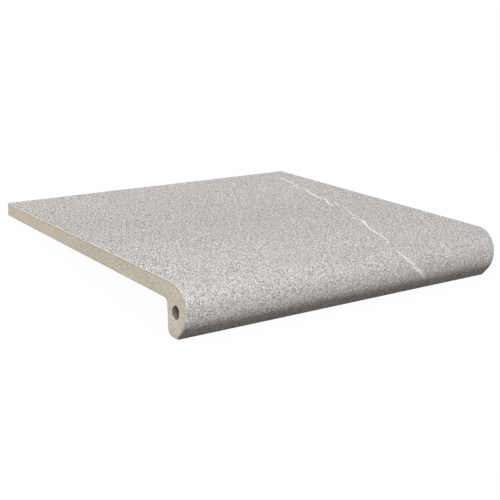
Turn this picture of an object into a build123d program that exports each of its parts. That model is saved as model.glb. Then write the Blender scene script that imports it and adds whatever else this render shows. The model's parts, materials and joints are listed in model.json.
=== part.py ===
"""Stair nosing tile: a tread plate that runs out into a rounded, cored nose, fired as one piece."""

import os
from math import asin, atan2, cos, degrees, radians, sin, tan

from build123d import *

# Whole tile, in millimetres
tile_width = 330.0  # along the nose
tile_depth = 320.0  # from the nose front to the back edge

# Tread plate, a little thicker towards the nose
plate_back_thickness = 13.0
plate_nose_thickness = 16.0

# Nose, from the tread downwards
nose_height = 44.0  # tread to foot of the nose
nose_thickness = 25.5  # nose front to inner face, at the foot
brow_radius = 20.0  # round from the tread down to the nose front
front_flat = 3.0  # upright stretch below the brow
lip_lean = 40.0  # degrees that the lip slopes back under the nose, from upright
lip_height = 8.0  # straight stretch above the foot
heel_radius = 6.5  # round from the foot up to the inner face
inner_face_lean = 4.0  # degrees that the inner face leans back, from upright
inner_corner_radius = 4.0  # hollow where the inner face meets the underside

# Core that the nose is extruded around
core_diameter = 10.0
core_front_wall = 9.7  # nose front to core
core_top_wall = 18.0  # tread to core

# Softened edges
lip_arris_radius = 1.6  # lower edge of the lip
back_arris_radius = 2.4  # top and foot of the back edge
end_arris_radius = 1.2  # round the outline of both ends

# Section points, with the run measured from the nose front and the height from the tread
brow_drop = brow_radius + front_flat
under_radius = (nose_height - brow_drop - lip_height) / sin(radians(lip_lean))
lip_run = under_radius * (1 - cos(radians(lip_lean))) + lip_height * tan(radians(lip_lean))
inner_corner_run = nose_thickness + (nose_height - plate_nose_thickness) * tan(radians(inner_face_lean))
core_radius = core_diameter / 2
core_centre = (core_front_wall + core_radius, -core_top_wall - core_radius)

with BuildSketch() as section:
    with BuildLine():
        tread = Line((tile_depth, 0), (brow_radius, 0))
        brow = JernArc(tread @ 1, tread % 1, brow_radius, 90)
        front = Line(brow @ 1, (0, -brow_drop))
        under = JernArc(front @ 1, front % 1, under_radius, lip_lean)
        lip = Line(under @ 1, (lip_run, -nose_height))
        foot = Line(lip @ 1, (nose_thickness, -nose_height))
        inner_face = Line(foot @ 1, (inner_corner_run, -plate_nose_thickness))
        underside = Line(inner_face @ 1, (tile_depth, -plate_back_thickness))
        back = Line(underside @ 1, tread @ 0)
    make_face()
    rounded_corners = (
        (lip @ 1, lip_arris_radius),
        (foot @ 1, heel_radius),
        (inner_face @ 1, inner_corner_radius),
        (underside @ 1, back_arris_radius),
        (back @ 1, back_arris_radius),
    )
    for corner, radius in rounded_corners:
        fillet(section.vertices().sort_by_distance(corner)[0], radius)
    with Locations(core_centre):
        Circle(core_radius, mode=Mode.SUBTRACT)

# Unheld, the tile tips back until the rounded back foot meets the floor that the heel stands on.
# The floor is the lower tangent of those two rounds.
plate_taper = atan2(plate_nose_thickness - plate_back_thickness, tile_depth - inner_corner_run)
heel_centre = Vector(
    nose_thickness - heel_radius * (1 / cos(radians(inner_face_lean)) - tan(radians(inner_face_lean))),
    heel_radius - nose_height,
)
back_foot_centre = Vector(
    tile_depth - back_arris_radius,
    back_arris_radius * (1 / cos(plate_taper) - tan(plate_taper)) - plate_back_thickness,
)
heel_to_back = back_foot_centre - heel_centre
rest_tilt = atan2(heel_to_back.Y, heel_to_back.X)
rest_tilt += asin((heel_radius - back_arris_radius) / heel_to_back.length)

# The section stands at the middle of the width, centred over the floor that the tipped tile covers
tipped_box = section.sketch.rotate(Axis.Z, -degrees(rest_tilt)).bounding_box()
rest_plane = Plane(
    origin=(0, -tipped_box.center().X, -tipped_box.min.Y),
    x_dir=(0, cos(rest_tilt), -sin(rest_tilt)),
    z_dir=(1, 0, 0),
)

with BuildPart() as nosing_tile:
    with BuildSketch(rest_plane):
        add(section.sketch)
    extrude(amount=tile_width / 2, both=True)
    for end in nosing_tile.faces().filter_by(Axis.X):
        fillet(end.outer_wire().edges(), end_arris_radius)

nosing_tile.part.label = "nosing_tile"
os.makedirs("parts", exist_ok=True)
export_step(nosing_tile.part, "parts/nosing_tile.step")
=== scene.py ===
"""Stair nosing tile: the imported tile, dressed as matt glazed stoneware, in a plain studio."""

import json
import logging
import math
from collections.abc import Callable, Sequence
from dataclasses import dataclass, field
from enum import Enum
from functools import partial, reduce

import bmesh
import bpy
from mathutils import Color, Matrix, Vector


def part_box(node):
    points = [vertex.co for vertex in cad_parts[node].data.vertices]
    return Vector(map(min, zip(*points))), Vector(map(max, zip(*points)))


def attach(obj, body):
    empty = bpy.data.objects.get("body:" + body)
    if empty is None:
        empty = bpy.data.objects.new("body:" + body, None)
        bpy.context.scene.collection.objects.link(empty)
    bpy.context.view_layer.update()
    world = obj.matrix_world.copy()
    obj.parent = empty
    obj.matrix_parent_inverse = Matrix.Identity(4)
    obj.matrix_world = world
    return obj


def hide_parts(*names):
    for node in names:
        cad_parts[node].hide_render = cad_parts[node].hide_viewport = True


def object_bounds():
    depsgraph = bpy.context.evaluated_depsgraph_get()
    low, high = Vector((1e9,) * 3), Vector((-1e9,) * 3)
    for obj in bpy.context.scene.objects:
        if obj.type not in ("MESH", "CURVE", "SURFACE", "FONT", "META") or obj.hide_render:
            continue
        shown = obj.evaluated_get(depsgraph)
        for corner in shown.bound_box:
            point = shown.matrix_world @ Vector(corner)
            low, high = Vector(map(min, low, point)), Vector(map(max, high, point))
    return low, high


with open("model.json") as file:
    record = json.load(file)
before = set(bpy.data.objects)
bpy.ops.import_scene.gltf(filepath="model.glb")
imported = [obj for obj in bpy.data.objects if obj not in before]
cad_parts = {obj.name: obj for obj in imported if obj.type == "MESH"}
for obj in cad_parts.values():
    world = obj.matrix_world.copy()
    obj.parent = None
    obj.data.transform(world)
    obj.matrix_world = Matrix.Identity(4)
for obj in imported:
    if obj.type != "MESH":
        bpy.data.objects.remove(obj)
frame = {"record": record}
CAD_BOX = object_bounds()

LOG = logging.getLogger("nosing_tile")
MM = 0.001
TILE_NODE = "nosing_tile"
TILE_BODY = "root"
GLAZE_ATTRIBUTE = "glaze"
GLAZE_GROUP = "glazed_skin"
RIM_ATTRIBUTE = "rim"
FORWARDS = Vector((0, -1, 0))
DOWN = Vector((0, 0, -1))

Span = tuple[float, float]
Colour = tuple[float, float, float, float]
Socket = bpy.types.NodeSocket
WHITE: Colour = (1, 1, 1, 1)


class MeshPart(Enum):
    """What is selected of a mesh in edit mode."""

    EDGE = "EDGE"
    FACE = "FACE"


def deselect_everything() -> None:
    """Leaves object mode with nothing selected."""
    if bpy.context.object and bpy.context.object.mode != "OBJECT":
        bpy.ops.object.mode_set(mode="OBJECT")
    bpy.ops.object.select_all(action="DESELECT")


def make_active(piece: bpy.types.Object) -> None:
    """Makes one object the only selected and the active one.

    Args:
        piece: The object that the next operators act on.
    """
    deselect_everything()
    piece.select_set(True)
    bpy.context.view_layer.objects.active = piece


def select_parts(piece: bpy.types.Object, kind: MeshPart, wanted: Callable[..., bool]) -> None:
    """Selects, in edit mode, the parts of a mesh that pass a test.

    Args:
        piece: The object in edit mode.
        kind: Edges or faces.
        wanted: Says of one edge or face whether it is selected.
    """
    bpy.ops.mesh.select_mode(type=kind.value)
    bpy.ops.mesh.select_all(action="DESELECT")
    shape = bmesh.from_edit_mesh(piece.data)
    for part in shape.edges if kind is MeshPart.EDGE else shape.faces:
        if wanted(part):
            part.select_set(True)
    shape.select_flush_mode()
    bmesh.update_edit_mesh(piece.data)


def select_long_edge(piece: bpy.types.Object, run: float, height: float) -> None:
    """Selects the edges that run along the nose at one place of the section.

    Args:
        piece: The object in edit mode.
        run: The place's run.
        height: The place's height.
    """
    close = 0.05 * MM

    def on_line(edge: bmesh.types.BMEdge) -> bool:
        """True if both ends of the edge lie on the line."""
        return all(abs(v.co.y - run) < close and abs(v.co.z - height) < close for v in edge.verts)

    select_parts(piece, MeshPart.EDGE, on_line)


def spans_width(edge: bmesh.types.BMEdge) -> bool:
    """True for an edge that runs from one end of the nose to the other."""
    return edge.verts[0].co.x * edge.verts[1].co.x < 0


def looks(face: bmesh.types.BMFace, way: Vector) -> bool:
    """True for a face that looks nearly straight one way."""
    nearly_straight = 0.9
    return face.normal.dot(way) > nearly_straight


def round_selection(setback: float, faces: int) -> None:
    """Rounds the selected edges, from a setback on both sides, with a number of faces."""
    bpy.ops.mesh.bevel(offset_type="OFFSET", offset=setback, segments=faces, affect="EDGES")


def fade(value: float, start: float, end: float) -> float:
    """Rises evenly from 0 at the start to 1 at the end."""
    return min(max((value - start) / (end - start), 0), 1)


@dataclass(frozen=True)
class LongRound:
    """One round along the nose: its sharp edge, its radius, the turn between its sides and its faces."""

    run: float
    height: float
    radius: float
    turn: float
    faces: int


@dataclass(frozen=True)
class TileSection:
    """Section across the nose, in metres: the run from the nose front, the height from the tread."""

    depth: float = 320 * MM
    back_thickness: float = 13 * MM
    nose_plate_thickness: float = 16 * MM
    nose_height: float = 44 * MM
    nose_thickness: float = 25.5 * MM
    brow_radius: float = 20 * MM
    front_flat: float = 3 * MM
    lip_lean: float = math.radians(40)
    lip_height: float = 8 * MM
    heel_radius: float = 6.5 * MM
    inner_face_lean: float = math.radians(4)
    inner_corner_radius: float = 4 * MM
    core_radius: float = 5 * MM
    core_run: float = 14.7 * MM
    core_drop: float = 23 * MM
    lip_arris: float = 1.6 * MM
    back_arris: float = 2.4 * MM
    end_arris: float = 1.2 * MM

    @property
    def under_radius(self) -> float:
        """Radius of the turn from the nose front to the lip."""
        brow_drop = self.brow_radius + self.front_flat
        return (self.nose_height - brow_drop - self.lip_height) / math.sin(self.lip_lean)

    @property
    def lip_run(self) -> float:
        """Run of the sharp lower edge of the lip."""
        turned = self.under_radius * (1 - math.cos(self.lip_lean))
        return turned + self.lip_height * math.tan(self.lip_lean)

    @property
    def lip_top(self) -> float:
        """Depth at which the lip's plane meets the nose front's plane."""
        return self.nose_height - self.lip_run / math.tan(self.lip_lean)

    @property
    def inner_corner_run(self) -> float:
        """Run of the sharp corner between the inner face and the underside."""
        leg = self.nose_height - self.nose_plate_thickness
        return self.nose_thickness + leg * math.tan(self.inner_face_lean)

    @property
    def taper(self) -> float:
        """Slope of the underside against the tread, in radians."""
        rise = self.nose_plate_thickness - self.back_thickness
        return math.atan2(rise, self.depth - self.inner_corner_run)

    @property
    def core_centre(self) -> Vector:
        """Middle of the core, halfway along the nose."""
        return Vector((0, self.core_run, -self.core_drop))

    @property
    def rounds(self) -> tuple[LongRound, ...]:
        """Rounds of the edges along the nose, in the order in which they are made."""
        square = math.pi / 2
        heel_turn = square - self.inner_face_lean
        corner_turn = heel_turn - self.taper
        foot, plate, back = -self.nose_height, -self.nose_plate_thickness, -self.back_thickness
        return (
            LongRound(0, 0, self.brow_radius, square, faces=24),
            LongRound(0, -self.lip_top, self.under_radius, self.lip_lean, faces=12),
            LongRound(self.lip_run, foot, self.lip_arris, square - self.lip_lean, faces=4),
            LongRound(self.nose_thickness, foot, self.heel_radius, heel_turn, faces=10),
            LongRound(self.inner_corner_run, plate, self.inner_corner_radius, corner_turn, faces=8),
            LongRound(self.depth, back, self.back_arris, square - self.taper, faces=6),
            LongRound(self.depth, 0, self.back_arris, square, faces=6),
        )


@dataclass(frozen=True)
class Relief:
    """One pattern that is sunk into the glazed skin, with its sizes in metres."""

    name: str
    size: float
    height: float
    depth_steps: int


@dataclass
class NosingTile:
    """The fired tile, modelled as laid and then tipped to where it lies on the floor."""

    width: float
    tilt: float
    core_place: Vector
    section: TileSection = field(default_factory=TileSection)

    # Faces of the skin
    grid_step: float = 1.8 * MM
    underside_step: float = 2.6 * MM
    end_faces: int = 4
    one_plane: float = math.radians(0.3)
    crease: float = math.radians(35)

    # Core: how far its corners are worn outwards, and shares of the width and of the radius
    core_wear: tuple[float, ...] = tuple(
        wear * MM for wear in (0.3, 0.0, 0.0, 0.8, 0.8, 0.5, 0.2, 0.7, 0.9, 1.2, 0.5, 0.5)
    )
    core_softness: float = 0.2 * MM
    core_faces: int = 2
    rod_length: float = 1.1
    core_reach: float = 1.3

    # Glaze: where it fades out, by the way that the skin faces
    back_glaze: Span = (math.radians(-80), math.radians(-20))
    foot_glaze: Span = (math.radians(30), math.radians(5))
    end_glaze: Span = (1, 0.1)
    rim_share: float = 0.3
    reliefs: tuple[Relief, ...] = (
        Relief("swell", 45 * MM, 0.25 * MM, 1),
        Relief("grain", 6 * MM, 0.12 * MM, 2),
    )
    piece: bpy.types.Object | None = None

    @classmethod
    def from_frame(cls, record: dict) -> "NosingTile":
        """Reads the tile's width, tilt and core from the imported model.

        Args:
            record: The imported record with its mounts.

        Returns:
            The tile, not yet built.
        """
        mounts = {mount["name"]: mount for mount in record["mounts"]}
        low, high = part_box(TILE_NODE)
        tread_way = mounts["tread_face"]["axis"]
        return cls(
            width=high[0] - low[0],
            tilt=math.atan2(tread_way[1], tread_way[2]),
            core_place=Vector(mounts["nose_core"]["pos_m"]),
        )

    def build(self) -> bpy.types.Object:
        """Models the tile.

        Returns:
            The finished piece, in the row frame.
        """
        self._extrude_block()
        self._undercut_lip()
        self._round_long_edges()
        self._divide_faces()
        self._round_ends()
        self._divide_width()
        self._pierce_core()
        self._mark_finishes()
        self._add_relief()
        self._lay_down()
        return self.piece

    def _extrude_block(self) -> None:
        """Extrudes the nose forwards and down out of a plain plate."""
        s = self.section
        plate_run = s.depth - s.inner_corner_run
        deselect_everything()
        bpy.ops.mesh.primitive_cube_add(
            size=1,
            location=(0, s.inner_corner_run + plate_run / 2, -s.back_thickness / 2),
            scale=(self.width, plate_run, s.back_thickness),
        )
        self.piece = bpy.context.object
        self.piece.name = "glazed_nosing_tile"
        self.piece.data.name = "glazed_nosing_tile"
        bpy.ops.object.transform_apply(location=True, rotation=True, scale=True)
        bpy.ops.object.mode_set(mode="EDIT")

        select_long_edge(self.piece, s.inner_corner_run, -s.back_thickness)
        bpy.ops.transform.translate(value=DOWN * (s.nose_plate_thickness - s.back_thickness))
        select_parts(self.piece, MeshPart.FACE, lambda face: looks(face, FORWARDS))
        bpy.ops.mesh.extrude_region_move(
            TRANSFORM_OT_translate={"value": FORWARDS * s.inner_corner_run}
        )

        def under_nose(face: bmesh.types.BMFace) -> bool:
            """True for the lower face of the block in front of the plate."""
            return looks(face, DOWN) and face.calc_center_median().y < s.inner_corner_run

        select_parts(self.piece, MeshPart.FACE, under_nose)
        bpy.ops.mesh.extrude_region_move(
            TRANSFORM_OT_translate={"value": DOWN * (s.nose_height - s.nose_plate_thickness)}
        )
        select_long_edge(self.piece, s.inner_corner_run, -s.nose_height)
        bpy.ops.transform.translate(value=FORWARDS * (s.inner_corner_run - s.nose_thickness))

    def _undercut_lip(self) -> None:
        """Cuts the lower front of the nose back to the sloping lip, and leaves one face to each side."""
        s = self.section
        bpy.ops.mesh.select_all(action="SELECT")
        bpy.ops.mesh.bisect(
            plane_co=(0, s.lip_run, -s.nose_height),
            plane_no=(0, -math.cos(s.lip_lean), -math.sin(s.lip_lean)),
            use_fill=True,
            clear_outer=True,
        )
        bpy.ops.mesh.select_all(action="SELECT")
        bpy.ops.mesh.dissolve_limited(angle_limit=self.one_plane)

    def _round_long_edges(self) -> None:
        """Rounds every edge that runs along the nose, with the radii of the section."""
        for edge in self.section.rounds:
            select_long_edge(self.piece, edge.run, edge.height)
            round_selection(edge.radius * math.tan(edge.turn / 2), edge.faces)

    def _divide_faces(self) -> None:
        """Divides the tread and the underside from front to back."""
        s = self.section

        def from_front_to_back(edge: bmesh.types.BMEdge, above: bool) -> bool:
            """True for the long end edges of the tread or of the underside."""
            first, second = (v.co for v in edge.verts)
            level = (first.z + second.z) / 2 > -s.back_thickness / 2
            return abs(first.y - second.y) > s.depth / 2 and level == above

        for above, step in ((True, self.grid_step), (False, self.underside_step)):
            select_parts(self.piece, MeshPart.EDGE, lambda edge: from_front_to_back(edge, above))
            bpy.ops.mesh.subdivide(number_cuts=round((s.depth - s.brow_radius) / step) - 1)

    def _round_ends(self) -> None:
        """Rounds the outline of both ends."""
        select_parts(self.piece, MeshPart.EDGE, lambda edge: not spans_width(edge))
        round_selection(self.section.end_arris, self.end_faces)

    def _divide_width(self) -> None:
        """Divides every face of the skin along the nose."""
        select_parts(self.piece, MeshPart.EDGE, spans_width)
        bpy.ops.mesh.subdivide(number_cuts=round(self.width / self.grid_step) - 1)

    def _pierce_core(self) -> None:
        """Cuts the core, as unevenly as the clay left it, through the nose from end to end."""
        cutter = self._make_core()
        make_active(self.piece)
        cut = self.piece.modifiers.new("core", "BOOLEAN")
        cut.operation = "DIFFERENCE"
        cut.solver = "EXACT"
        cut.object = cutter
        bpy.ops.object.modifier_apply(modifier=cut.name)
        bpy.data.meshes.remove(cutter.data)

    def _make_core(self) -> bpy.types.Object:
        """Models the core as a rod with an uneven outline.

        Returns:
            The rod, longer than the nose.
        """
        s = self.section
        deselect_everything()
        bpy.ops.mesh.primitive_cylinder_add(
            vertices=len(self.core_wear),
            radius=s.core_radius,
            depth=self.width * self.rod_length,
            location=s.core_centre,
            rotation=(0, math.pi / 2, 0),
        )
        rod = bpy.context.object
        bpy.ops.object.transform_apply(location=True, rotation=True, scale=True)
        bpy.ops.object.mode_set(mode="EDIT")
        corner_turn = 2 * math.pi / len(self.core_wear)
        for number, wear in enumerate(self.core_wear):
            way = Vector((0, math.cos(number * corner_turn), math.sin(number * corner_turn)))
            corner = s.core_centre + way * s.core_radius
            select_long_edge(rod, corner.y, corner.z)
            bpy.ops.transform.translate(value=way * wear)
        select_parts(rod, MeshPart.EDGE, spans_width)
        round_selection(self.core_softness, self.core_faces)
        bpy.ops.object.mode_set(mode="OBJECT")
        return rod

    def _in_core(self, place: Vector) -> bool:
        """True if a point lies on the wall of the core."""
        s = self.section
        return math.hypot(place.y - s.core_run, place.z + s.core_drop) < s.core_radius * self.core_reach

    def _mark_finishes(self) -> None:
        """Stores, by the way that the skin faces, how far it is glazed and where its ends' rims are."""
        mesh = self.piece.data
        group = self.piece.vertex_groups.new(name=GLAZE_GROUP)
        shares, rims = [], []
        for vertex in mesh.vertices:
            cored = self._in_core(vertex.co)
            endwards = abs(vertex.normal.x)
            rim = min(endwards, 1 - endwards, self.rim_share) / self.rim_share
            shares.append(0.0 if cored else self._glaze_share(vertex.normal))
            rims.append(0.0 if cored else rim)
            group.add([vertex.index], shares[-1], "REPLACE")
        for name, values in ((GLAZE_ATTRIBUTE, shares), (RIM_ATTRIBUTE, rims)):
            mesh.attributes.new(name, "FLOAT", "POINT").data.foreach_set("value", values)

    def _glaze_share(self, way: Vector) -> float:
        """Gives the cover of a skin that faces one way.

        Args:
            way: The outward normal, as laid.

        Returns:
            1 where the glaze was poured, 0 on the bare body, and between them over the arrises.
        """
        turn = math.atan2(-way.y, way.z)
        past_lip = turn - math.pi / 2 - self.section.lip_lean
        over_top = fade(turn, *self.back_glaze) * fade(past_lip, *self.foot_glaze)
        return over_top * fade(abs(way.x), *self.end_glaze)

    def _add_relief(self) -> None:
        """Sinks a soft swell and a fine grain into the glazed skin, never above the section."""
        make_active(self.piece)
        for relief in self.reliefs:
            pattern = bpy.data.textures.new(relief.name, "CLOUDS")
            pattern.noise_scale = relief.size
            pattern.noise_depth = relief.depth_steps
            sink = self.piece.modifiers.new(relief.name, "DISPLACE")
            sink.texture = pattern
            sink.texture_coords = "LOCAL"
            sink.strength = relief.height
            sink.mid_level = 1.0
            sink.vertex_group = GLAZE_GROUP
            bpy.ops.object.modifier_apply(modifier=sink.name)

    @property
    def place(self) -> Vector:
        """Where the nose front's meeting with the tread's plane lies in the row frame."""
        return self.core_place - Matrix.Rotation(-self.tilt, 4, "X") @ self.section.core_centre

    def _lay_down(self) -> None:
        """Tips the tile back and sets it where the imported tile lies, with its place in its mesh."""
        make_active(self.piece)
        self.piece.rotation_euler = (-self.tilt, 0, 0)
        self.piece.location = self.place
        bpy.ops.object.transform_apply(location=True, rotation=True, scale=True)

    def dress(self, material: bpy.types.Material) -> None:
        """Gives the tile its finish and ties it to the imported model.

        Args:
            material: The finish of the whole tile.
        """
        make_active(self.piece)
        bpy.ops.object.shade_smooth_by_angle(angle=self.crease)
        self.piece.data.materials.append(material)
        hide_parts(TILE_NODE)
        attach(self.piece, TILE_BODY)


def screen_colour(*channels: int) -> Colour:
    """Turns red, green and blue as seen on a screen, from 0 to 255, into the shader's light values."""
    brightest = 255
    return *Color([channel / brightest for channel in channels]).from_srgb_to_scene_linear(), 1.0


@dataclass(frozen=True)
class Grain:
    """One soft pattern: its size in metres, how strongly it shows, its finer octaves and their share."""

    size: float
    contrast: float = 1.0
    detail: float = 1
    roughness: float = 0.65


class NodeBoard:
    """A tree of nodes, with short ways to add to it."""

    # Numbers of the Mix node's sockets, because their names are shared
    MIX_SHARE = 0
    MIX_COLOURS = (6, 7)
    MIXED_COLOUR = 2
    MIX_NUMBERS = (2, 3)
    MIXED_NUMBER = 0

    def __init__(self, tree: bpy.types.NodeTree) -> None:
        """Takes over the nodes of a tree."""
        self.nodes = tree.nodes
        self.links = tree.links

    def add(self, kind: str, feeds: dict | None = None, **settings: object) -> bpy.types.Node:
        """Adds a node.

        Args:
            kind: The node's type, without the ShaderNode before it.
            feeds: What goes into its sockets, by their names or numbers.
            settings: The node's own settings.

        Returns:
            The new node.
        """
        node = self.nodes.new(f"ShaderNode{kind}")
        for name, value in settings.items():
            setattr(node, name, value)
        for name, source in (feeds or {}).items():
            self.feed(node.inputs[name], source)
        return node

    def feed(self, target: Socket, source: object) -> None:
        """Links a socket into another, or sets it to a plain value.

        Args:
            target: The socket that takes it.
            source: The other socket, or the value.
        """
        if isinstance(source, Socket):
            self.links.new(source, target)
        else:
            target.default_value = source

    def part_of(self, source: Socket, axis: str) -> Socket:
        """Gives one axis of coordinates or of a colour."""
        return self.add("SeparateXYZ", {"Vector": source}).outputs[axis]

    def maths(self, operation: str, *values: object) -> Socket:
        """Adds a sum on up to three sockets or plain numbers."""
        return self.add("Math", dict(enumerate(values)), operation=operation).outputs["Value"]

    def total(self, *values: object) -> Socket:
        """Adds several sockets or numbers up."""
        return reduce(partial(self.maths, "ADD"), values)

    def product(self, *values: object) -> Socket:
        """Multiplies several sockets or numbers."""
        return reduce(partial(self.maths, "MULTIPLY"), values)

    def greatest(self, *values: object) -> Socket:
        """Gives the greatest of several sockets or numbers."""
        return reduce(partial(self.maths, "MAXIMUM"), values)

    def slope(self, first: Socket, second: Socket) -> Socket:
        """Gives the length of the slope over two sides at right angles."""
        return self.maths("SQRT", self.total(*(self.maths("POWER", side, 2.0) for side in (first, second))))

    def swing(self, value: Socket, height: float) -> Socket:
        """Centres a noise about 0.5 on 0, and scales it."""
        middle = 0.5
        return self.maths("MULTIPLY", self.maths("SUBTRACT", value, middle), height)

    def step(self, value: object, low: float, high: float) -> Socket:
        """Rises smoothly from 0 at one value to 1 at another.

        Args:
            value: The value to test.
            low: Where the rise starts. It may be above high, for a fall.
            high: Where it ends.

        Returns:
            The share from 0 to 1.
        """
        feeds = {
            "Value": value,
            "From Min": min(low, high),
            "From Max": max(low, high),
            "To Min": float(low > high),
            "To Max": float(low <= high),
        }
        return self.add("MapRange", feeds, interpolation_type="SMOOTHSTEP").outputs["Result"]

    def blend(self, share: object, first: object, second: object) -> Socket:
        """Mixes two colours or their sockets, with a share of the second."""
        feeds = dict(zip((self.MIX_SHARE, *self.MIX_COLOURS), (share, first, second)))
        return self.add("Mix", feeds, data_type="RGBA").outputs[self.MIXED_COLOUR]

    def between(self, share: object, first: object, second: object) -> Socket:
        """Mixes two numbers or their sockets, with a share of the second."""
        feeds = dict(zip((self.MIX_SHARE, *self.MIX_NUMBERS), (share, first, second)))
        return self.add("Mix", feeds, data_type="FLOAT").outputs[self.MIXED_NUMBER]

    def shaded(self, colour: Socket, tone: object) -> Socket:
        """Scales a colour by a tone."""
        return self.add("VectorMath", {0: colour, "Scale": tone}, operation="SCALE").outputs["Vector"]

    def tinted(self, colour: Socket, tint: Socket) -> Socket:
        """Multiplies a colour by a tint."""
        return self.add("VectorMath", {0: colour, 1: tint}, operation="MULTIPLY").outputs["Vector"]

    def mixed_shader(self, share: object, first: Socket, second: Socket) -> Socket:
        """Mixes two shaders, with a share of the second."""
        return self.add("MixShader", dict(enumerate((share, first, second)))).outputs["Shader"]

    def shows_background(self) -> Socket:
        """Gives 1 for camera, glossy and transmission rays, else 0."""
        outputs = self.add("LightPath").outputs
        return self.greatest(*(outputs[f"Is {kind} Ray"] for kind in ("Camera", "Glossy", "Transmission")))

    def drawn_line(self, along: Socket, points: Sequence[Span]) -> Socket:
        """Follows a line that is drawn through points.

        Args:
            along: The value along the line, from 0 to 1.
            points: The line's points, each a place from 0 to 1 and a height from 0 to 1.

        Returns:
            The line's height.
        """
        node = self.add("FloatCurve", {"Value": along})
        curve = node.mapping.curves[0]
        ordered = sorted(points)
        for at, height in ordered[1:-1]:
            curve.points.new(at, height)
        curve.points[0].location = ordered[0]
        curve.points[-1].location = ordered[-1]
        for point in curve.points:
            point.handle_type = "VECTOR"
        node.mapping.update()
        return node.outputs["Value"]


class MaterialBoard(NodeBoard):
    """The nodes of one material, with the places that its patterns follow."""

    def __init__(self, name: str, place: Vector | None = None, tilt: float = 0) -> None:
        """Starts a material with a Principled shader.

        Args:
            name: The material's name.
            place: Where the zero of the tile as laid lies, or None to keep the object's own zero.
            tilt: How far the tile is tipped back, in radians.
        """
        self.material = bpy.data.materials.new(name)
        self.material.use_nodes = True
        super().__init__(self.material.node_tree)
        self.shader = self.nodes["Principled BSDF"]
        self.where = self.add("TexCoord").outputs["Object"]
        if place is not None:
            feeds = {"Vector": self.where, "Location": place, "Rotation": (-tilt, 0, 0)}
            self.where = self.add("Mapping", feeds, vector_type="TEXTURE").outputs["Vector"]
        self.along, self.run, self.height = (self.part_of(self.where, axis) for axis in "XYZ")

    @property
    def fall(self) -> Socket:
        """The run plus the height, which goes on over the brow and down the nose."""
        return self.maths("ADD", self.run, self.height)

    @property
    def from_middle(self) -> Socket:
        """Distance from the middle of the width."""
        return self.maths("ABSOLUTE", self.along)

    def attribute(self, name: str) -> Socket:
        """Reads a value that is stored on the mesh."""
        return self.add("Attribute", attribute_name=name).outputs["Fac"]

    def turned(self, turn: float, draw: tuple[float, float, float]) -> Socket:
        """Turns the coordinates about the upright and draws patterns out along the turned axes.

        Args:
            turn: The turn in radians.
            draw: How much longer patterns become along each turned axis.

        Returns:
            The new coordinates.
        """
        feeds = {"Vector": self.where, "Rotation": (0, 0, turn), "Scale": draw}
        return self.add("Mapping", feeds, vector_type="TEXTURE").outputs["Vector"]

    def noise(self, grain: Grain, where: Socket | None = None) -> Socket:
        """Adds a soft noise about 0.5.

        Args:
            grain: The size, octaves and roughness of its blots.
            where: The coordinates, or None for the board's own.

        Returns:
            The noise.
        """
        feeds = {
            "Vector": where or self.where,
            "Scale": 1 / grain.size,
            "Detail": grain.detail,
            "Roughness": grain.roughness,
        }
        return self.add("TexNoise", feeds).outputs["Fac"]

    def blots(self, grain: Grain, where: Socket | None = None) -> Socket:
        """Adds a pattern of soft blots about 0."""
        return self.swing(self.noise(grain, where), grain.contrast)

    def cells(self, size: float, where: Socket | None = None) -> bpy.types.Node:
        """Adds a pattern of cells of one size."""
        return self.add("TexVoronoi", {"Vector": where or self.where, "Scale": 1 / size})

    def minerals(self, grain: Grain, where: Socket | None = None) -> Socket:
        """Adds a pattern of grains about 0, each grain of one tone."""
        tones = self.cells(grain.size, where).outputs["Color"]
        return self.swing(self.part_of(tones, "X"), grain.contrast)


@dataclass(frozen=True)
class Coat:
    """What one finish gives at each place: its colour, its roughness and its fine relief."""

    colour: Socket
    roughness: Socket
    height: Socket


@dataclass(frozen=True)
class VeinStrand:
    """One strand of a vein, with its points from the back forwards.

    Each point is its fall, which is the run plus the height, its place along the nose, both in
    millimetres, and the strand's strength there from 0 to 1.
    """

    points: tuple[tuple[float, float, float], ...]
    half_width: float = 1.0 * MM
    softness: float = 0.35 * MM


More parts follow.
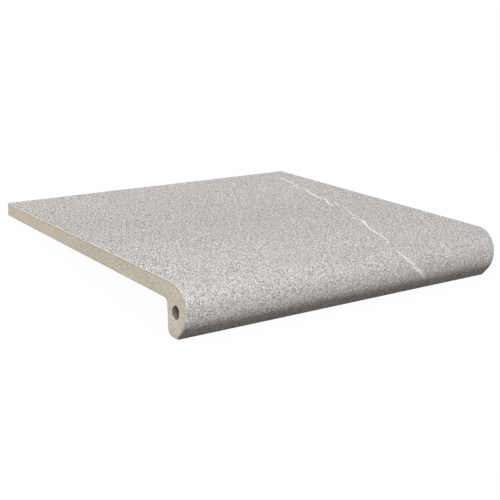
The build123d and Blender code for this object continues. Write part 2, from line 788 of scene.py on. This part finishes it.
@dataclass(frozen=True)
class StoneVein:
    """A white quartz vein that wanders in strands over the tread and down the nose."""

    colour: Colour = screen_colour(249, 247, 245)
    far: float = 320
    near: float = -44
    reach_along: float = 165
    bends: tuple[Grain, ...] = (
        Grain(6 * MM, 1.2 * MM, roughness=0.5),
        Grain(2.5 * MM, 1.2 * MM, detail=0),
    )
    breaks: Grain = Grain(3 * MM, roughness=0.5)
    break_strength: Span = (0.2, 1.8)
    strands: tuple[VeinStrand, ...] = (
        VeinStrand(((290, 138.5, 0), (282, 137.5, 0.9), (270, 136.5, 0.7), (261, 134.5, 1), (250, 130, 0))),
        VeinStrand(((241, 114, 0), (243.5, 120, 1), (247.5, 130, 1), (250, 136, 0)), half_width=2.8 * MM),
        VeinStrand(((241, 126, 0), (240, 125.5, 0.8), (235, 122.5, 0.8), (232, 122, 0))),
        VeinStrand((
            (234, 129, 0), (228.5, 127.5, 0.5), (218.5, 122.5, 0.9), (205.5, 118, 1), (197.5, 116, 1),
            (189, 112.5, 1), (187, 113.5, 0.9), (186, 114, 0),
        )),
        VeinStrand((
            (185.5, 112.5, 0), (186, 113.5, 0.9), (187.5, 117, 0.9), (188.5, 119, 0),
        ), half_width=2 * MM),
        VeinStrand((
            (184.5, 116.5, 0), (182, 115.5, 0.9), (174.5, 111.5, 1), (164.5, 105.5, 1), (158.5, 103, 1),
            (152.5, 101.5, 1), (149, 100.5, 0),
        ), half_width=1.2 * MM),
        VeinStrand(((167, 114, 0), (164, 113, 1), (158, 111, 1), (153, 108.5, 1), (150, 107.5, 0))),
        VeinStrand((
            (150, 111, 0), (146.5, 110, 0.6), (143, 108.5, 0.3), (138.5, 106.5, 0.6), (129, 100.5, 0.3),
            (123.5, 97, 0.9), (116, 93.5, 1), (110.5, 92.5, 0.8), (104.5, 91.5, 0.5), (101, 91, 0),
        )),
        VeinStrand((
            (108, 85.5, 0), (105, 86, 1), (98, 86.5, 1), (93, 86, 1), (87.5, 83.5, 1), (79, 78.5, 1),
            (69.5, 73, 1), (59.5, 69, 0.9), (52, 66, 0.7), (44, 63.5, 0.8), (41, 62, 0.3), (36, 60, 0.6),
            (30, 58.5, 0.9), (26, 56, 0.3), (21, 52, 0.8), (16, 49, 0.5), (12, 47.5, 0),
        )),
        VeinStrand((
            (95, 86.5, 0), (92.5, 86, 0.8), (87.5, 83.5, 1), (79, 78.5, 1), (72, 74.5, 0),
        ), half_width=1.8 * MM),
        VeinStrand((
            (5, 48.5, 0), (1, 51, 0.7), (-2.5, 52.8, 0.8), (-7, 55.5, 1), (-12.5, 60, 1), (-18, 64.5, 0.9),
            (-22.5, 69.5, 0.7), (-27, 75.5, 0),
        )),
        VeinStrand((
            (-8.5, 54.5, 0), (-10, 55.5, 0.6), (-12.5, 58, 0.6), (-14.5, 60.5, 0),
        ), half_width=0.7 * MM),
        VeinStrand((
            (-16, 62, 0), (-19, 65, 0.5), (-22, 69, 0.9), (-25, 73.5, 0.9), (-28, 78, 0.6), (-31, 83, 0),
        ), half_width=2.6 * MM, softness=1.4 * MM),
    )

    def share(self, board: MaterialBoard) -> Socket:
        """Gives the vein's cover.

        Args:
            board: The material's nodes.

        Returns:
            From 0, none, to 1.
        """
        from_near = board.maths("SUBTRACT", board.fall, self.near * MM)
        down = board.maths("DIVIDE", from_near, (self.far - self.near) * MM)
        across = board.total(board.along, board.total(*(board.blots(bend) for bend in self.bends)))
        covers = (self._cover(board, strand, down, across) for strand in self.strands)
        broken = board.between(board.noise(self.breaks), *self.break_strength)
        return board.product(board.greatest(*covers), broken)

    def _cover(self, board: MaterialBoard, strand: VeinStrand, down: Socket, across: Socket) -> Socket:
        """Gives one strand's cover.

        Args:
            board: The material's nodes.
            strand: The strand.
            down: The fall, from 0 at the near end to 1 at the far one.
            across: The place along the nose.

        Returns:
            From 0, none, to 1.
        """
        reach = self.far - self.near
        path = [((fall - self.near) / reach, place / self.reach_along) for fall, place, _ in strand.points]
        strength = [((fall - self.near) / reach, much) for fall, _, much in strand.points]
        centre = board.maths("MULTIPLY", board.drawn_line(down, path), self.reach_along * MM)
        off = board.maths("ABSOLUTE", board.maths("SUBTRACT", across, centre))
        line = board.step(off, strand.half_width + strand.softness, strand.half_width - strand.softness)
        return board.product(line, board.drawn_line(down, strength))


@dataclass(frozen=True)
class GlazeFinish:
    """Matt grey glaze with a printed sandstone grain, and painted shade on its brow and lip."""

    light_grain: Colour = screen_colour(246, 244, 244)
    dark_grain: Colour = screen_colour(133, 125, 119)
    middle_tone: float = 0.5
    roughness: float = 0.72
    roughness_swing: float = 0.4
    grain_relief: float = 0.1
    vein: StoneVein = field(default_factory=StoneVein)

    # Patterns, from the broadest to the finest
    cloud: Grain = Grain(70 * MM, 0.06)
    blot: Grain = Grain(14 * MM, 0.1)
    coarse: Grain = Grain(2.6 * MM, 0.15)
    tread_sand: Grain = Grain(1.1 * MM, 3.2)
    nose_sand: Grain = Grain(0.9 * MM, 1.5)
    tread_grain: Grain = Grain(0.6 * MM, 0.55)
    nose_grain: Grain = Grain(0.55 * MM, 0.92)
    nose_reach: Span = (36 * MM, -6 * MM)
    bedding_turn: float = math.radians(-37)
    bedding_draw: float = 1.5

    # Warm and cool flecks, and the nose's own cast
    warm_tint: Colour = (1.015, 0.985, 0.965, 1)
    cool_tint: Colour = (0.955, 0.99, 1.0, 1)
    tint: Grain = Grain(4.5 * MM, roughness=0.5)
    tint_edges: Span = (0.65, 0.35)
    nose_cast: Colour = (0.98, 0.99, 0.97, 1)
    nose_cast_share: float = 0.6

    # Darker bed across the tread, and painted shade on the brow, stronger towards the right
    bed_run: float = 152 * MM
    bed_slant: float = 0.3
    bed_reach: Span = (150 * MM, 0)
    bed_tone: float = 0.925
    brow_shade_fall: float = 9 * MM
    brow_shade_reach: Span = (28 * MM, 0)
    brow_shade_along: Span = (-120 * MM, 10 * MM)
    brow_shade_tone: Span = (0.965, 0.925)

    # Painted shade on the lip, deepest at its foot and at its ends
    lip_reach: Span = (-27.5 * MM, -36.5 * MM)
    lip_unevenness: Grain = Grain(5 * MM, 4 * MM)
    lip_shade_tint: Colour = (0.67, 0.632, 0.605, 1)
    lip_contrast: float = 1.75
    lip_end_reach: Span = (156 * MM, 164 * MM)
    lip_end_tone: float = 0.82
    foot_reach: Span = (-37 * MM, -43 * MM)
    foot_tone: float = 0.9

    def paint(self, board: MaterialBoard) -> Coat:
        """Lays the glaze.

        Args:
            board: The material's nodes.

        Returns:
            The glaze at each place.
        """
        on_nose = board.step(board.fall, *self.nose_reach)
        bedded = board.turned(self.bedding_turn, (1, self.bedding_draw, 1))
        coarse = board.blots(self.coarse)
        sand = board.between(on_nose, board.blots(self.tread_sand, bedded), board.blots(self.nose_sand))
        grain = board.between(
            on_nose, board.minerals(self.tread_grain, bedded), board.minerals(self.nose_grain)
        )
        # Painted shade on the lip, darker downwards, with more contrast in its grain
        lip_shade = board.step(board.total(board.height, board.blots(self.lip_unevenness)), *self.lip_reach)
        sanded = board.product(board.total(sand, grain), board.between(lip_shade, 1.0, self.lip_contrast))
        tone = board.total(
            self.middle_tone, board.blots(self.cloud), board.blots(self.blot), coarse, sanded
        )
        warmth = board.step(board.noise(self.tint), *self.tint_edges)
        tint = board.blend(warmth, self.cool_tint, self.warm_tint)
        tint = board.blend(board.between(on_nose, 0.0, self.nose_cast_share), tint, self.nose_cast)
        colour = board.tinted(board.blend(tone, self.dark_grain, self.light_grain), tint)
        colour = board.blend(self.vein.share(board), colour, self.vein.colour)
        # Paints the lip's shade into the colour
        colour = board.tinted(colour, board.blend(lip_shade, WHITE, self.lip_shade_tint))
        # Painted shade on the brow, the foot and the ends of the lip, with the darker bed
        colour = board.shaded(colour, self._shade(board, lip_shade))
        roughness = board.total(self.roughness, board.product(coarse, self.roughness_swing))
        relief = board.total(coarse, board.product(sanded, self.grain_relief))
        return Coat(colour, roughness, relief)

    def _shade(self, board: MaterialBoard, lip_shade: Socket) -> Socket:
        """Gives the broad tones: the bed, and painted shade on the brow, the foot and the ends of the lip.

        Args:
            board: The material's nodes.
            lip_shade: The lip's painted shade, from 0 above the lip to 1 on it.

        Returns:
            The tone, 1 where nothing darkens the glaze.
        """
        slant = board.maths("MULTIPLY", board.along, self.bed_slant)
        from_bed = board.maths("ABSOLUTE", board.total(board.run, slant, -self.bed_run))
        from_brow_shade = board.maths("ABSOLUTE", board.total(board.fall, -self.brow_shade_fall))
        # Painted shade on the brow, stronger towards the right
        brow_shade_tone = board.between(board.step(board.along, *self.brow_shade_along), *self.brow_shade_tone)
        # Painted shade at the ends of the lip
        lip_end = board.product(lip_shade, board.step(board.from_middle, *self.lip_end_reach))
        return board.product(
            board.between(board.step(from_bed, *self.bed_reach), 1.0, self.bed_tone),
            board.between(board.step(from_brow_shade, *self.brow_shade_reach), 1.0, brow_shade_tone),
            board.between(board.step(board.height, *self.foot_reach), 1.0, self.foot_tone),
            board.between(lip_end, 1.0, self.lip_end_tone),
        )


@dataclass(frozen=True)
class BodyFinish:
    """Bare beige fired body with fine grog, a few pores and browner edges, with painted light on its plate
    and nose end and painted shade in its core.
    """

    colour: Colour = screen_colour(200, 191, 178)
    roughness: float = 0.85
    roughness_swing: float = 0.1

    # Patches, grog and pores
    patch_colour: Colour = screen_colour(195, 186, 168)
    patch: Grain = Grain(6 * MM, detail=2, roughness=0.5)
    patch_edges: Span = (0.38, 0.62)
    cloud: Grain = Grain(26 * MM, 0.12, roughness=0.5)
    grain: Grain = Grain(1.3 * MM, 1.9, detail=2, roughness=0.7)
    pore_colour: Colour = screen_colour(150, 138, 120)
    pore_spacing: float = 6 * MM
    pore_edges: Span = (0.11, 0.05)
    pore_strength: float = 0.7

    # Painted light: the plate lighter towards the back and along its lower edge, the nose's end lighter,
    # and its foot lighter and bluer
    back_light_reach: Span = (130 * MM, 290 * MM)
    back_light_tone: Span = (0.96, 1.085)
    plate_reach: Span = (30 * MM, 90 * MM)
    under_reach: Span = (-3 * MM, -13 * MM)
    under_light_tone: float = 1.07
    nose_light_tone: float = 1.05
    foot_reach: Span = (-14 * MM, -30 * MM)
    foot_light_tint: Colour = (1.175, 1.19, 1.23, 1)

    # Browned and chipped rims
    rim_colour: Colour = screen_colour(183, 165, 140)
    rim_strength: float = 0.72
    rim_depth: Span = (2.3 * MM, 0.2 * MM)
    rim_patch: Grain = Grain(3 * MM, 1.2, roughness=0.5)
    rim_patchiness: float = 0.5
    rim_edges: Span = (0.1, 0.6)
    chip_colour: Colour = screen_colour(140, 126, 108)
    chip: Grain = Grain(5 * MM, detail=2, roughness=0.6)
    chip_edges: Span = (0.57, 0.66)
    chip_rim: Span = (0.2, 0.6)
    chip_reach: Span = (-9 * MM, -11 * MM)

    # Core, with its reaches in shares of its radius: its wall painted darker than the body and darker still
    # with depth, as painted shade
    mouth_colour: Colour = screen_colour(220, 212, 200)
    mouth_reach: Span = (1.4, 1.1)
    mouth_strength: float = 0.5
    core_shade_colour: Colour = screen_colour(162, 154, 140)
    deep_shade_colour: Colour = screen_colour(113, 106, 94)
    core_depth: float = 7 * MM
    core_entry: Span = (0.05 * MM, 0.4 * MM)
    core_reach: Span = (1.35, 1.25)

    def paint(self, board: MaterialBoard, inset: Socket, tile: NosingTile) -> Coat:
        """Shows the bare body.

        Args:
            board: The material's nodes.
            inset: How far a place of the ends lies inside the edge of the glaze.
            tile: The tile.

        Returns:
            The body at each place.
        """
        grain = board.noise(self.grain)
        patch = board.step(board.noise(self.patch), *self.patch_edges)
        low = board.step(board.height, *self.foot_reach)
        on_plate = board.step(board.run, *self.plate_reach)
        under = board.product(on_plate, board.step(board.height, *self.under_reach))
        # Painted light: lighter towards the back, along the plate's lower edge and on the nose's end
        broad = board.product(
            board.between(board.step(board.run, *self.back_light_reach), *self.back_light_tone),
            board.between(under, 1.0, self.under_light_tone),
            board.between(on_plate, self.nose_light_tone, 1.0),
        )
        tone = board.total(broad, board.swing(grain, self.grain.contrast), board.blots(self.cloud))
        patched = board.blend(patch, self.colour, self.patch_colour)
        # Painted light on the lower nose end, lighter and bluer
        colour = board.tinted(patched, board.blend(low, WHITE, self.foot_light_tint))
        colour = self._browned(board, inset, colour)
        pore = board.step(board.cells(self.pore_spacing).outputs["Distance"], *self.pore_edges)
        colour = board.blend(board.product(pore, self.pore_strength), colour, self.pore_colour)
        colour = self._cored(board, colour, tile)
        relief = board.maths("SUBTRACT", grain, pore)
        roughness = board.total(self.roughness, board.swing(grain, self.roughness_swing))
        return Coat(board.shaded(colour, tone), roughness, relief)

    def _browned(self, board: MaterialBoard, inset: Socket, colour: Socket) -> Socket:
        """Browns the rim of the ends and chips it here and there.

        Args:
            board: The material's nodes.
            inset: How far a place of the ends lies inside the edge of the glaze.
            colour: The body's colour.

        Returns:
            The colour with its rims.
        """
        rim = board.attribute(RIM_ATTRIBUTE)
        patchy = board.blots(self.rim_patch)
        uneven = board.product(patchy, self.rim_patchiness)
        by_glaze = board.total(board.step(inset, *self.rim_depth), uneven)
        browned = board.greatest(board.step(board.total(rim, patchy), *self.rim_edges), by_glaze)
        colour = board.blend(board.product(browned, self.rim_strength), colour, self.rim_colour)
        chip = board.product(
            board.step(board.noise(self.chip), *self.chip_edges),
            board.step(rim, *self.chip_rim),
            board.step(board.height, *self.chip_reach),
        )
        return board.blend(chip, colour, self.chip_colour)

    def _cored(self, board: MaterialBoard, colour: Socket, tile: NosingTile) -> Socket:
        """Paints shade into the core, darker the deeper it goes, and pales the body round its mouths.

        Args:
            board: The material's nodes.
            colour: The body's colour.
            tile: The tile.

        Returns:
            The colour with the core.
        """
        radius = tile.section.core_radius
        run = board.maths("SUBTRACT", board.run, tile.section.core_run)
        drop = board.maths("ADD", board.height, tile.section.core_drop)
        off = board.slope(run, drop)
        depth = board.maths("SUBTRACT", tile.width / 2, board.from_middle)
        near = board.step(off, *(radius * share for share in self.mouth_reach))
        colour = board.blend(board.product(near, self.mouth_strength), colour, self.mouth_colour)
        # Painted shade on the core's wall, darker with depth
        wall = board.blend(board.step(depth, 0.0, self.core_depth), self.core_shade_colour, self.deep_shade_colour)
        inside = board.step(off, *(radius * share for share in self.core_reach))
        return board.blend(board.product(inside, board.step(depth, *self.core_entry)), colour, wall)


@dataclass(frozen=True)
class TileFinish:
    """The whole tile's finish: glaze where it was poured, bare body elsewhere."""

    glaze: GlazeFinish = field(default_factory=GlazeFinish)
    body: BodyFinish = field(default_factory=BodyFinish)
    shine: float = 0.2
    relief: float = 0.35 * MM
    relief_strength: float = 0.6

    # Edge to which the glaze ran over the ends
    edge_rag: Grain = Grain(2.5 * MM, 0.16, roughness=0.5)
    edge_cover: Span = (0.06, 0.13)
    edge_width: Span = (0.1 * MM, -0.1 * MM)
    unevenness: Grain = Grain(5 * MM, 1.0 * MM, roughness=0.5)
    run_over: float = 1.4 * MM
    run_over_reach: Span = (-3 * MM, -14 * MM)
    lip_run_over: float = 0.6 * MM
    lip_run_reach: Span = (-26 * MM, -33 * MM)
    lip_blend: float = 7.4 * MM

    # Pale line along that edge on the end arrises, a painted highlight, with its place on the arris in
    # shares of its radius
    bead_highlight_colour: Colour = screen_colour(234, 231, 228)
    bead_highlight_strength: float = 0.95
    bead_highlight_width: float = 0.8 * MM
    bead_highlight_place: Span = (0.6, 0.3)

    def material(self, tile: NosingTile) -> bpy.types.Material:
        """Makes the material.

        Args:
            tile: The tile that it covers.

        Returns:
            The tile's material.
        """
        board = MaterialBoard("glazed_stoneware", tile.place, tile.tilt)
        inset = self._inset(board, tile.section)
        glaze = self.glaze.paint(board)
        body = self.body.paint(board, inset, tile)
        ragged = board.total(board.attribute(GLAZE_ATTRIBUTE), board.blots(self.edge_rag))
        glazed = board.greatest(board.step(ragged, *self.edge_cover), board.step(inset, *self.edge_width))
        # Painted highlight along the glaze's edge on the end arrises
        bead_highlight_ends = (tile.width / 2 - tile.section.end_arris * share for share in self.bead_highlight_place)
        bead_highlight = board.product(
            glazed,
            board.step(inset, -self.bead_highlight_width, -self.bead_highlight_width / 2),
            board.step(board.from_middle, *bead_highlight_ends),
            board.step(board.height, *reversed(self.run_over_reach)),
            self.bead_highlight_strength,
        )
        colour = board.blend(glazed, body.colour, glaze.colour)
        inputs = board.shader.inputs
        board.feed(inputs["Base Color"], board.blend(bead_highlight, colour, self.bead_highlight_colour))
        board.feed(inputs["Roughness"], board.between(glazed, body.roughness, glaze.roughness))
        board.feed(inputs["Specular IOR Level"], self.shine)
        bump = {
            "Height": board.between(glazed, body.height, glaze.height),
            "Distance": self.relief,
            "Strength": self.relief_strength,
        }
        board.feed(inputs["Normal"], board.add("Bump", bump).outputs["Normal"])
        return board.material

    def _inset(self, board: MaterialBoard, section: TileSection) -> Socket:
        """Measures how far a place lies inside the edge to which the glaze ran over the ends.

        Args:
            board: The material's nodes.
            section: The tile's section.

        Returns:
            The depth below that edge, in metres, and less than 0 above it.
        """
        ahead = board.greatest(board.maths("SUBTRACT", section.brow_radius, board.run), 0.0)
        above = board.greatest(board.maths("ADD", board.height, section.brow_radius), 0.0)
        from_brow = board.maths("SUBTRACT", section.brow_radius, board.slope(ahead, above))
        behind = board.maths("SUBTRACT", board.run, section.lip_run)
        over_foot = board.maths("ADD", board.height, section.nose_height)
        from_lip = board.total(
            board.product(behind, math.cos(section.lip_lean)),
            board.product(over_foot, math.sin(section.lip_lean)),
        )
        inside = board.maths("SMOOTH_MIN", from_brow, from_lip, self.lip_blend)
        reach = board.total(
            board.between(board.step(board.height, *self.run_over_reach), self.run_over, 0.0),
            board.between(board.step(board.height, *self.lip_run_reach), 0.0, self.lip_run_over),
            board.blots(self.unevenness),
        )
        return board.maths("SUBTRACT", inside, reach)


@dataclass(frozen=True)
class PhotoCamera:
    """The camera, with the photograph's place, aim and lens."""

    place: Vector = Vector((-0.5567, -0.7449, 0.3364))
    aim: Vector = Vector((0.0005, -0.0116, 0.0))
    roll: float = math.radians(5.16)
    focal_pixels: float = 1053.9
    frame_pixels: float = 500
    sensor: float = 36

    def build(self) -> bpy.types.Object:
        """Sets up the camera.

        Returns:
            The scene's camera.
        """
        lens = bpy.data.cameras.new("photo_camera")
        lens.sensor_width = self.sensor
        lens.lens = self.sensor * self.focal_pixels / self.frame_pixels
        camera = bpy.data.objects.new("photo_camera", lens)
        bpy.context.collection.objects.link(camera)
        turn = (self.aim - self.place).to_track_quat("-Z", "Y").to_matrix().to_4x4()
        camera.matrix_world = Matrix.Translation(self.place) @ turn @ Matrix.Rotation(self.roll, 4, "Z")
        bpy.context.scene.camera = camera
        return camera


@dataclass(frozen=True)
class SoftBox:
    """One soft lamp, placed by its angles round the tile."""

    name: str
    azimuth: float
    elevation: float
    distance: float
    size: float
    level: float

    def build(self) -> bpy.types.Object:
        """Hangs the lamp.

        Returns:
            The lamp, facing the tile.
        """
        lamp = bpy.data.lights.new(self.name, "AREA")
        lamp.shape = "SQUARE"
        lamp.size = self.size
        lamp.energy = self.level * (math.pi * self.distance) ** 2
        holder = bpy.data.objects.new(self.name, lamp)
        bpy.context.collection.objects.link(holder)
        turn, rise = math.radians(self.azimuth), math.radians(self.elevation)
        way = Vector((math.sin(turn) * math.cos(rise), -math.cos(turn) * math.cos(rise), math.sin(rise)))
        holder.location = way * self.distance
        holder.rotation_euler = way.to_track_quat("Z", "Y").to_euler()
        return holder


@dataclass(frozen=True)
class Studio:
    """A plain white floor and soft light from above and in front."""

    floor_size: float = 40.0
    floor_drop: float = 0.1 * MM
    sky: float = 0.78
    lamps: tuple[SoftBox, ...] = (
        SoftBox("front_key", azimuth=-42, elevation=40, distance=1.4, size=1.1, level=0.34),
    )

    # Light that the floor throws back, with little under and in front of the nose
    near_bounce: float = 0.02
    far_bounce: float = 0.75
    dark_strip: Span = (100 * MM, 15 * MM)
    strip_back: Span = (-70 * MM, -60 * MM)
    strip_sides: Span = (12 * MM, -6 * MM)
    front_back: Span = (-8 * MM, 4 * MM)
    front_sides: Span = (80 * MM, 30 * MM)

    # Soft shadow that shows on the floor near the tile
    shade_reach: Span = (100 * MM, 400 * MM)
    shade_lift: float = 0.975

    def build(self) -> None:
        """Lays the floor and sets the lights."""
        bpy.context.scene.view_settings.view_transform = "Standard"
        self._lay_floor()
        self._light_sky()
        for lamp in self.lamps:
            lamp.build()

    def _lay_floor(self) -> None:
        """Lays a floor that looks white, keeps the tile's shadow and throws little light back up."""
        deselect_everything()
        level = CAD_BOX[0][2] - self.floor_drop
        bpy.ops.mesh.primitive_plane_add(size=self.floor_size, location=(0, 0, level))
        floor = bpy.context.object
        floor.name = "floor"
        board = MaterialBoard("white_floor")
        board.nodes.remove(board.shader)
        bounce = board.add("BsdfDiffuse", {"Color": self._bounce(board)})
        shaded = board.add("BsdfDiffuse", {"Color": WHITE})
        white = board.add("Emission")
        far = board.step(self._way_from_tile(board), *self.shade_reach)
        lift = board.between(far, self.shade_lift, 1.0)
        shown = board.mixed_shader(lift, shaded.outputs["BSDF"], white.outputs["Emission"])
        both = board.mixed_shader(board.shows_background(), bounce.outputs["BSDF"], shown)
        board.feed(board.nodes["Material Output"].inputs["Surface"], both)
        floor.data.materials.append(board.material)

    def _bounce(self, board: MaterialBoard) -> Socket:
        """Gives the share of light that the floor throws back.

        Args:
            board: The floor's nodes.

        Returns:
            The share, from the low one under the nose to the high one elsewhere.
        """
        ahead = board.maths("SUBTRACT", CAD_BOX[0][1], board.run)
        beside = board.maths("SUBTRACT", board.from_middle, CAD_BOX[1][0])
        under = board.product(board.step(ahead, *self.strip_back), board.step(beside, *self.strip_sides))
        in_front = board.product(board.step(ahead, *self.front_back), board.step(beside, *self.front_sides))
        dark = board.product(board.step(ahead, *self.dark_strip), board.greatest(under, in_front))
        return board.between(dark, self.far_bounce, self.near_bounce)

    @staticmethod
    def _way_from_tile(board: MaterialBoard) -> Socket:
        """Measures how far a place on the floor lies outside the tile's outline.

        Args:
            board: The floor's nodes.

        Returns:
            The distance in metres.
        """
        outside = []
        for place, edge in zip((board.along, board.run), CAD_BOX[1]):
            from_edge = board.maths("SUBTRACT", board.maths("ABSOLUTE", place), edge)
            outside.append(board.greatest(from_edge, 0.0))
        return board.slope(*outside)

    def _light_sky(self) -> None:
        """Lights the tile from all round, under a sky that looks white."""
        world = bpy.data.worlds.new("studio_sky")
        world.use_nodes = True
        board = NodeBoard(world.node_tree)
        light = board.nodes["Background"]
        board.feed(light.inputs["Color"], WHITE)
        board.feed(light.inputs["Strength"], self.sky)
        white = board.add("Background", {"Color": WHITE})
        sky = board.mixed_shader(
            board.shows_background(), light.outputs["Background"], white.outputs["Background"]
        )
        board.feed(board.nodes["World Output"].inputs["Surface"], sky)
        bpy.context.scene.world = world


def main() -> None:
    """Builds the tile and the studio."""
    logging.basicConfig(level=logging.INFO, format="%(name)s: %(message)s")
    tile = NosingTile.from_frame(frame["record"])
    piece = tile.build()
    tile.dress(TileFinish().material(tile))
    LOG.info("%s: %d faces", piece.name, len(piece.data.polygons))
    Studio().build()
    PhotoCamera().build()


if __name__ == "__main__":
    main()
